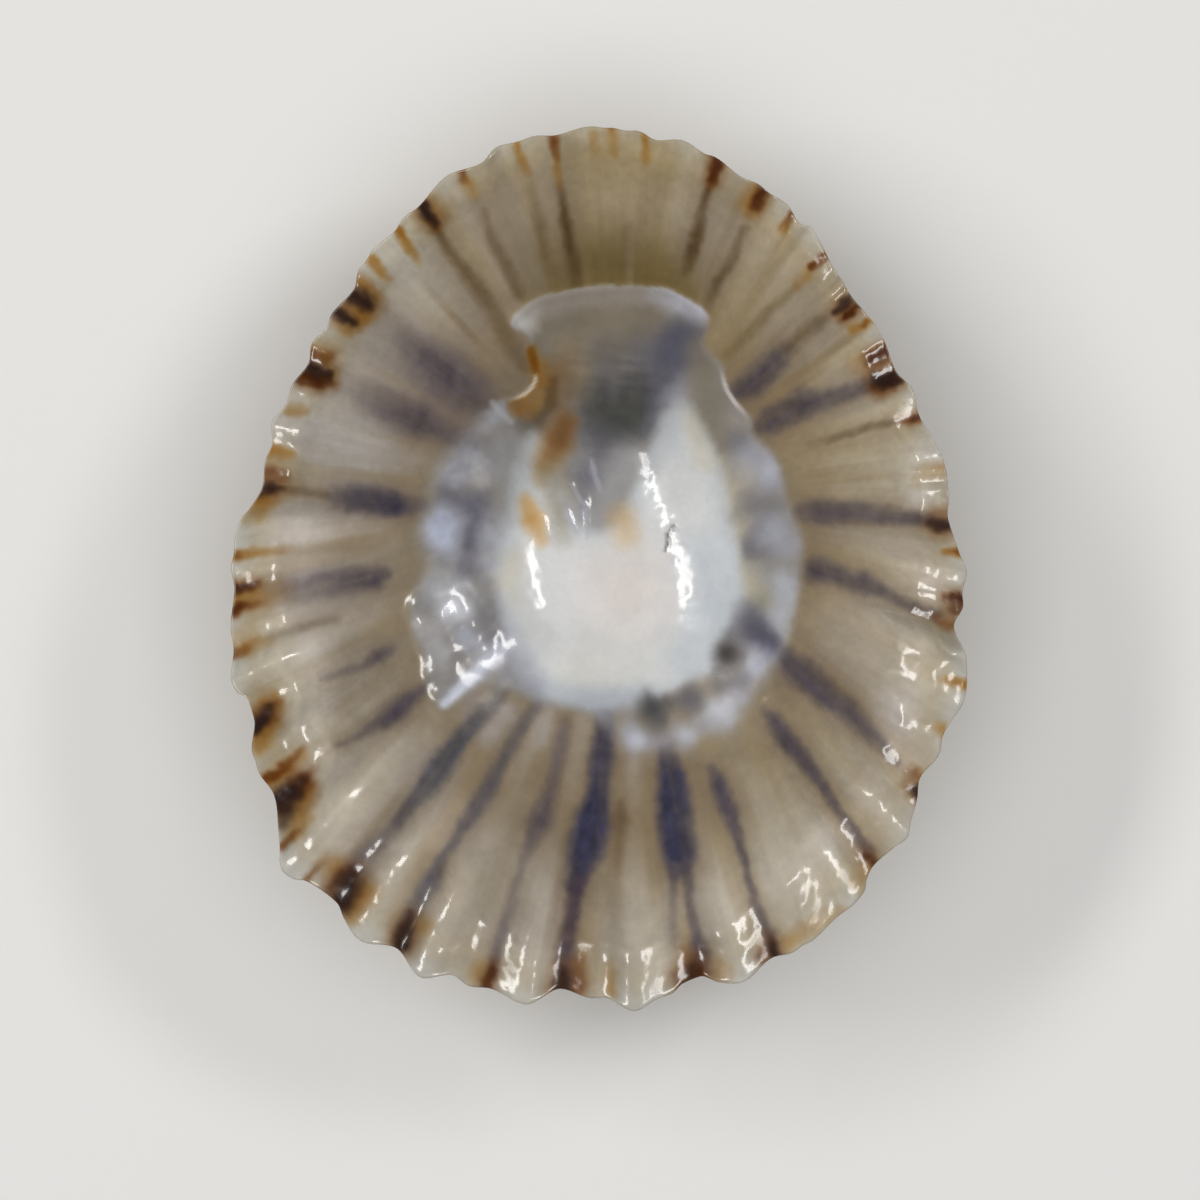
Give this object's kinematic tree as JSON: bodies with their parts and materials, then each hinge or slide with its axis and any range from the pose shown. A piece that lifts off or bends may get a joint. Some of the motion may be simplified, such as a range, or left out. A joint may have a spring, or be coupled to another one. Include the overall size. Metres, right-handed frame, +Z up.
{
  "type": "limpet shell",
  "caption": "Oval limpet shell lying mouth up: shallow ribbed cup with a scalloped rim, a glossy rayed inside with a pale callus, and a small worn flat at the tip.",
  "frame": {"origin": "on the resting surface, under the middle of the shell's outline", "axes": "+Z up, out of the open mouth; +Y towards the narrow head end; +X to the right as seen from above, looking into the mouth"},
  "size_m": [0.0291, 0.0349, 0.0096],
  "materials": {
    "shell": "gloss"
  },
  "bodies": {
    "root": {"shell": "shell"}
  },
  "joints": []
}
